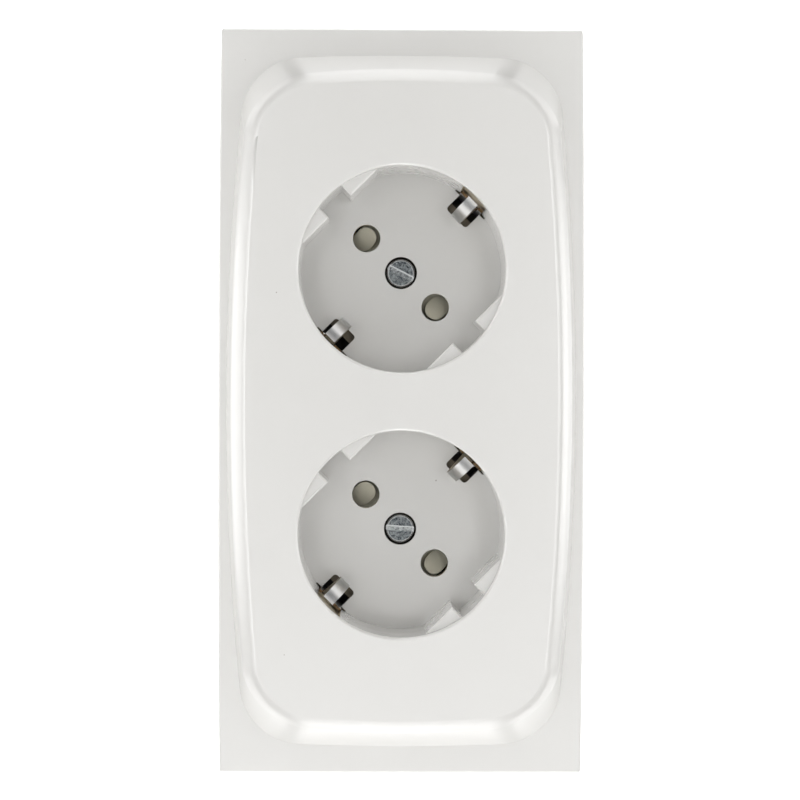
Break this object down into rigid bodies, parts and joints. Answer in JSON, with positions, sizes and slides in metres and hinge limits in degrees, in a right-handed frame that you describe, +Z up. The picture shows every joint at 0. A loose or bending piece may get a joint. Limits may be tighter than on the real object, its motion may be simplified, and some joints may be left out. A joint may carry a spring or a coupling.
{
  "type": "double wall socket",
  "caption": "Upright flush-mounted wall socket with two round earthed plug recesses in one white cover plate, sprung child-protection shutters and screw terminals behind.",
  "frame": {"origin": "centre of the four wall-box screw holes, on the wall plane behind the cover plate", "axes": "+X to the right seen from the front, -Y out of the wall towards the room, +Z up"},
  "size_m": [0.07, 0.0469, 0.142],
  "materials": {
    "white_plastic": "smooth moulded",
    "shutter_plastic": "moulded",
    "guide_plastic": "moulded",
    "base_plastic": "moulded",
    "nickel": "nickel plated strip",
    "zinc_steel": "zinc plated",
    "plate_steel": "galvanised sheet",
    "spring_steel": "bright strip",
    "contact_brass": "plain"
  },
  "bodies": {
    "housing": {"base_rivets": "zinc_steel", "contact_base": "base_plastic", "cover_plate": "white_plastic", "earth_link": "nickel", "earth_terminal_screw": "zinc_steel", "earth_terminal_washer": "zinc_steel", "line_contact_strip": "contact_brass", "line_terminal_screw": "zinc_steel", "line_terminal_washer": "zinc_steel", "lower_cover_screw": "zinc_steel", "lower_earth_bow": "nickel", "lower_screw_bush": "contact_brass", "lower_shutter_guide": "guide_plastic", "lower_shutter_spring": "spring_steel", "neutral_contact_strip": "contact_brass", "neutral_terminal_screw": "zinc_steel", "neutral_terminal_washer": "zinc_steel", "rear_cover": "base_plastic", "rear_cover_screws": "zinc_steel", "support_plate": "plate_steel", "upper_cover_screw": "zinc_steel", "upper_earth_bow": "nickel", "upper_screw_bush": "contact_brass", "upper_shutter_guide": "guide_plastic", "upper_shutter_spring": "spring_steel"},
    "upper_shutter": {"upper_shutter": "shutter_plastic"},
    "lower_shutter": {"lower_shutter": "shutter_plastic"}
  },
  "joints": [
    {"name": "upper_shutter_turn", "type": "hinge", "parent": "housing", "child": "upper_shutter", "pos_m": [0, 0.0065, 0.025], "axis": [0, 1, 0], "range_deg": [0, 33], "stiffness_Nm_per_rad": 0.002, "springref_deg": -17.19, "deforming": ["upper_shutter_spring"]},
    {"name": "lower_shutter_turn", "type": "hinge", "parent": "housing", "child": "lower_shutter", "pos_m": [0, 0.0065, -0.025], "axis": [0, 1, 0], "range_deg": [0, 33], "stiffness_Nm_per_rad": 0.002, "springref_deg": -17.19, "deforming": ["lower_shutter_spring"]}
  ]
}
